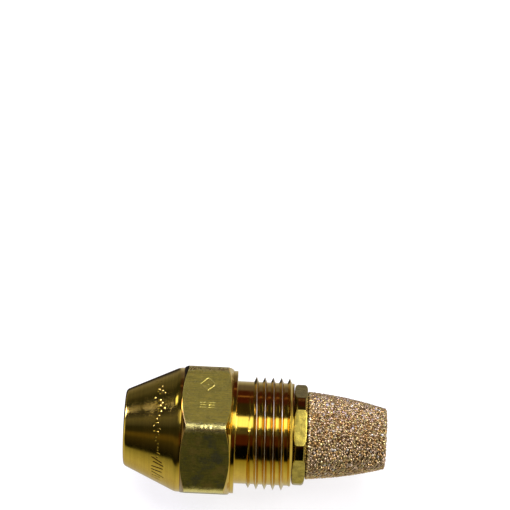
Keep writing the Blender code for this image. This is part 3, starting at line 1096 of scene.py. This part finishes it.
def collar_brass():
    """The adapter's collar: dull milled flats between bright turned arcs."""
    material, tree, place = new_material("collar_brass")
    lines = lathe_lines(tree, place, 4.0)
    smudge = tree.noise(place, 1.3, 4.0, 0.65)
    scuff = tree.noise(place, 5.0, 3.0, 0.7)
    tint = tree.mix(tree.remap(smudge, 0.35, 0.65, 0, 1), (0.58, 0.45, 0.085), (0.36, 0.28, 0.055))
    tint = tree.mix(tree.remap(scuff, 0.56, 0.7, 0, 0.6), tint, (0.24, 0.17, 0.05))
    rough = tree.math("ADD", tree.remap(smudge, 0.35, 0.65, 0.20, 0.34),
                      tree.remap(lines, 0.3, 0.7, -0.03, 0.03))
    radius = tree.from_axis(place)[3]
    full = COLLAR_RADIUS / MM
    turned_round = tree.remap(radius, full - 0.06, full - 0.02, 0, 0.17)
    rough = tree.math("SUBTRACT", rough, turned_round)
    height = tree.math("ADD", scuff, lines)
    return finish_metal(material, tree, tint, rough, height, 0.6, 0.015 * MM)


def filmed_metal(name, fine, broad, tints, shine, strength, depth):
    """A turned metal with tool lines at the scale fine, under an oil film at the scale broad."""
    material, tree, place = new_material(name)
    lines = lathe_lines(tree, place, fine)
    film = tree.remap(tree.noise(place, broad, 3.0, 0.6), 0.35, 0.65, 0, 1)
    rough = tree.remap(lines, 0.3, 0.7, *shine)
    return finish_metal(material, tree, tree.mix(film, *tints), rough, lines, strength, depth)


def bore_brass():
    """The inside of the body and the small threads: darker, oily brass."""
    tints = ((0.62, 0.40, 0.10), (0.40, 0.24, 0.06))
    return filmed_metal("bore_brass", 6.0, 0.9, tints, (0.22, 0.38), 0.5, 0.006 * MM)


def ground_steel():
    """Turned and lapped stainless steel."""
    tints = ((0.62, 0.61, 0.58), (0.50, 0.48, 0.44))
    return filmed_metal("ground_steel", 9.0, 1.1, tints, (0.16, 0.32), 0.4, 0.004 * MM)


def sintered_bronze():
    """Fused bronze beads, each with its own tone, with painted shade in the hollows where they meet."""
    material, tree, place = new_material("sintered_bronze", metallic=0.82)
    tone = tree.node("ShaderNodeAttribute", attribute_name="bead_tone").outputs["Fac"]
    hollow_shade = tree.node("ShaderNodeAttribute", attribute_name="bead_hollow_shade").outputs["Fac"]
    tint = tree.ramp(tone, [
        (0.0, (0.34, 0.18, 0.07)), (0.14, (0.90, 0.57, 0.22)), (0.28, (0.56, 0.36, 0.18)),
        (0.42, (0.98, 0.80, 0.36)), (0.56, (0.42, 0.35, 0.16)), (0.68, (0.96, 0.68, 0.46)),
        (0.80, (0.66, 0.50, 0.38)), (0.90, (0.50, 0.32, 0.12)), (1.0, (1.0, 0.97, 0.94))], "EASE")
    cloud = tree.noise(place, 0.8, 3.0, 0.6)
    tint = tree.mix(tree.remap(cloud, 0.35, 0.65, 0, 0.35), tint, (0.60, 0.39, 0.21))
    # painted shade: the gaps between beads grow darker the deeper they lie under the bead tops
    tint = tree.mix(tree.remap(hollow_shade, 0.25, 1.0, 0, 0.9), tint, (0.14, 0.08, 0.035))
    grain = tree.noise(place, 14.0, 2.0, 0.6)
    rough = tree.remap(tree.math("ADD", grain, tone), 0.4, 1.5, 0.10, 0.30)
    return finish_metal(material, tree, tint, rough, grain, 0.5, 0.01 * MM)


# -------- studio

# What stands round the nozzle
STRIP_LIGHT = (1.9, 1.9, 1.8)
BLACK_CARD = (0.001, 0.001, 0.002)
GREY_CARD = (0.084, 0.078, 0.07)
RED_CARD = (0.06, 0.013, 0.013)
LILAC_CARD = (0.14, 0.12, 0.20)
DARK_CARD = (0.03, 0.026, 0.024)
AMBER_CARD = (0.10, 0.075, 0.03)

# Light by direction round the axis: degrees from straight ahead, 90 overhead, and colour.
# This is what the neck, the thread and the hexagon reflect.
MAIN_BANDS = [
    (-180, LILAC_CARD), (-172, (0.16, 0.14, 0.20)), (-160, (0.34, 0.33, 0.32)),
    (-140, (0.56, 0.55, 0.50)), (-50, (0.62, 0.61, 0.56)), (-16, (0.36, 0.34, 0.16)),
    (-9, (0.30, 0.26, 0.10)), (-5, BLACK_CARD), (27, BLACK_CARD), (31, (0.066, 0.014, 0.004)),
    (51, (0.066, 0.016, 0.004)), (56, GREY_CARD), (68, GREY_CARD), (71, STRIP_LIGHT),
    (91, STRIP_LIGHT), (95, (0.035, 0.028, 0.018)), (124, (0.03, 0.024, 0.017)),
    (129, RED_CARD), (144, RED_CARD), (146, (0.42, 0.22, 0.18)), (149, RED_CARD),
    (164, (0.06, 0.016, 0.013)), (170, LILAC_CARD), (180, LILAC_CARD),
]
# The darker side of the studio, which the cone faces
CONE_BANDS = [
    (-180, (0.11, 0.11, 0.11)), (-160, (0.22, 0.21, 0.19)), (-147, DARK_CARD),
    (-125, DARK_CARD), (-112, (0.5, 0.48, 0.42)), (-55, (0.52, 0.51, 0.45)),
    (-36, (0.42, 0.42, 0.34)), (-18, (0.26, 0.26, 0.18)), (-12, (0.008, 0.008, 0.006)),
    (-4, (0.012, 0.011, 0.008)), (10, (0.028, 0.024, 0.018)), (24, (0.05, 0.042, 0.024)),
    (32, AMBER_CARD), (38, AMBER_CARD), (46, (0.03, 0.028, 0.022)), (60, (0.026, 0.026, 0.022)),
    (70, (0.07, 0.07, 0.09)), (86, (0.12, 0.12, 0.15)), (94, (0.06, 0.06, 0.08)),
    (106, (0.02, 0.02, 0.018)), (114, (0.045, 0.045, 0.035)), (122, (0.11, 0.10, 0.08)),
    (130, (0.06, 0.058, 0.05)), (138, (0.026, 0.03, 0.03)), (152, (0.035, 0.035, 0.03)),
    (166, (0.09, 0.09, 0.1)), (180, (0.10, 0.10, 0.10)),
]
# Small lamps: a range of the direction's x, a range of degrees round the axis, and their light.
LAMPS = [
    ((-0.60, -0.30), (110, 126), (2.0, 2.0, 1.8)),  # a glint on the land
    ((-0.93, -0.775), (117, 143), (14.0, 14.0, 30.0)),  # a white spot on the nose
    ((0.34, 0.58), (66, 96), (12.0, 12.0, 12.6)),  # sparkle on the beads
]
STRIP_END = (0.45, 0.60)
STRIP_DEGREES = (69, 94)
STRIP_OFF = (0.05, 0.05, 0.045)
END_LIGHT = (0.7, 0.7, 0.68)
BACKDROP = (1.0, 0.985, 1.0)


def light_bands(tree, angle, bands):
    """Colours round the nozzle's axis, by angle."""
    share = tree.math("ADD", tree.math("DIVIDE", angle, TURN), 0.5)
    return tree.ramp(share, [((degrees + 180) / 360, colour) for degrees, colour in bands])


def window(tree, value, low, high, soft):
    """1 within a range and 0 outside it, with soft edges."""
    rise = tree.remap(value, low - soft, low + soft, 0, 1)
    fall = tree.remap(value, high - soft, high + soft, 1, 0)
    return tree.math("MULTIPLY", rise, fall)


def make_world():
    """A studio whose light depends on the direction only, with a white backdrop."""
    world = bpy.data.worlds.new("studio")
    bpy.context.scene.world = world
    world.use_nodes = True
    world.node_tree.nodes.clear()
    tree = Tree(world.node_tree)
    direction = tree.node("ShaderNodeTexCoord").outputs["Generated"]
    x, y, z = tree.node("ShaderNodeSeparateXYZ", in_0=direction).outputs
    angle = tree.math("ARCTAN2", z, tree.math("MULTIPLY", y, -1))
    degrees = tree.math("DEGREES", angle)

    main = light_bands(tree, angle, MAIN_BANDS)
    ahead = light_bands(tree, angle, CONE_BANDS)
    colour = tree.mix(tree.remap(x, -0.13, -0.06, 1, 0), main, ahead)
    beyond = tree.math("MULTIPLY", tree.remap(x, *STRIP_END, 0, 1),
                       window(tree, degrees, *STRIP_DEGREES, 2))
    colour = tree.mix(beyond, colour, STRIP_OFF)
    for across, around, glow in LAMPS:
        here = tree.math("MULTIPLY", window(tree, x, *across, 0.02),
                         window(tree, degrees, *around, 2))
        colour = tree.mix(here, colour, glow)
    colour = tree.mix(tree.remap(x, -0.94, -0.98, 0, 1), colour, END_LIGHT)
    colour = tree.mix(tree.remap(x, 0.80, 0.95, 0, 1), colour, END_LIGHT)

    seen = tree.node("ShaderNodeLightPath").outputs["Is Camera Ray"]
    colour = tree.mix(seen, colour, BACKDROP)
    background = tree.node("ShaderNodeBackground", in_Color=colour, in_Strength=1.0)
    output = tree.node("ShaderNodeOutputWorld")
    tree.put(background.outputs[0], output.inputs["Surface"])


def make_floor():
    """A plain white table just under the nozzle."""
    half = 3.0
    corners = [(-half, -half, 0), (half, -half, 0), (half, half, 0), (-half, half, 0)]
    data = bpy.data.meshes.new("studio_floor")
    data.from_pydata(corners, [], [(0, 1, 2, 3)])
    material = bpy.data.materials.new("white_table")
    material.use_nodes = True
    inputs = material.node_tree.nodes["Principled BSDF"].inputs
    inputs["Base Color"].default_value = (0.2, 0.197, 0.2, 1)
    inputs["Roughness"].default_value = 0.9
    inputs["Emission Color"].default_value = (*BACKDROP, 1)
    inputs["Emission Strength"].default_value = 0.86
    data.materials.append(material)
    table = bpy.data.objects.new("studio_floor", data)
    table.location.z = -0.02 * MM
    table.visible_glossy = False
    bpy.context.scene.collection.objects.link(table)


def make_light():
    """One big soft light overhead."""
    light = bpy.data.lights.new("overhead", "SUN")
    light.energy = 4.2
    light.angle = math.radians(70)
    lamp = bpy.data.objects.new("overhead", light)
    lamp.rotation_euler = (math.radians(-32), math.radians(-8), 0)
    lamp.visible_glossy = False
    bpy.context.scene.collection.objects.link(lamp)


CAMERA_ELEVATION = math.radians(57.6)
CAMERA_DISTANCE = 0.3062
CAMERA_LENS = 169.4
CAMERA_SENSOR = 36
CAMERA_ROLL = math.radians(2.65)
AIM_ABOVE = 0.34892  # how far the view's middle is above the nozzle, in frame heights
AIM_LEFT = 0.00078


def make_camera():
    """A long lens from the front and above, with the nozzle low in the frame."""
    middle = Vector(((CAD_BOX[0][0] + CAD_BOX[1][0]) / 2, 0, AXIS_HEIGHT))
    away = CAMERA_DISTANCE * Vector((0, -math.cos(CAMERA_ELEVATION), math.sin(CAMERA_ELEVATION)))
    data = bpy.data.cameras.new("camera")
    data.lens = CAMERA_LENS
    data.sensor_width = CAMERA_SENSOR
    data.clip_start = 0.01
    camera = bpy.data.objects.new("camera", data)
    look = (-away).to_track_quat("-Z", "Y").to_matrix().to_4x4()
    scale = CAMERA_SENSOR / CAMERA_LENS
    roll = Matrix.Rotation(CAMERA_ROLL, 4, "Z")
    pitch = Matrix.Rotation(math.atan(AIM_ABOVE * scale), 4, "X")
    yaw = Matrix.Rotation(math.atan(AIM_LEFT * scale), 4, "Y")
    camera.matrix_world = Matrix.Translation(middle + away) @ look @ roll @ pitch @ yaw
    bpy.context.scene.collection.objects.link(camera)
    bpy.context.scene.camera = camera


# -------- the scene

def finish_node(name, material):
    """A CAD node that stays: better metal and a small bevel."""
    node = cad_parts[name]
    node.data.materials.clear()
    node.data.materials.append(material)
    bevel = node.modifiers.new("edge", "BEVEL")
    bevel.width = 0.05 * MM
    bevel.segments = 2
    bevel.limit_method = "ANGLE"
    bevel.angle_limit = math.radians(40)


turned = turned_brass()
bore = bore_brass()
steel = ground_steel()

make_body([turned, drawn_brass(), bore])
make_disc(steel)
make_adapter([turned, collar_brass(), bore])
make_cup(sintered_bronze())
finish_node("distributor", steel)
finish_node("lock_screw", bore)

make_world()
make_floor()
make_light()
make_camera()
bpy.context.scene.view_settings.view_transform = "Standard"
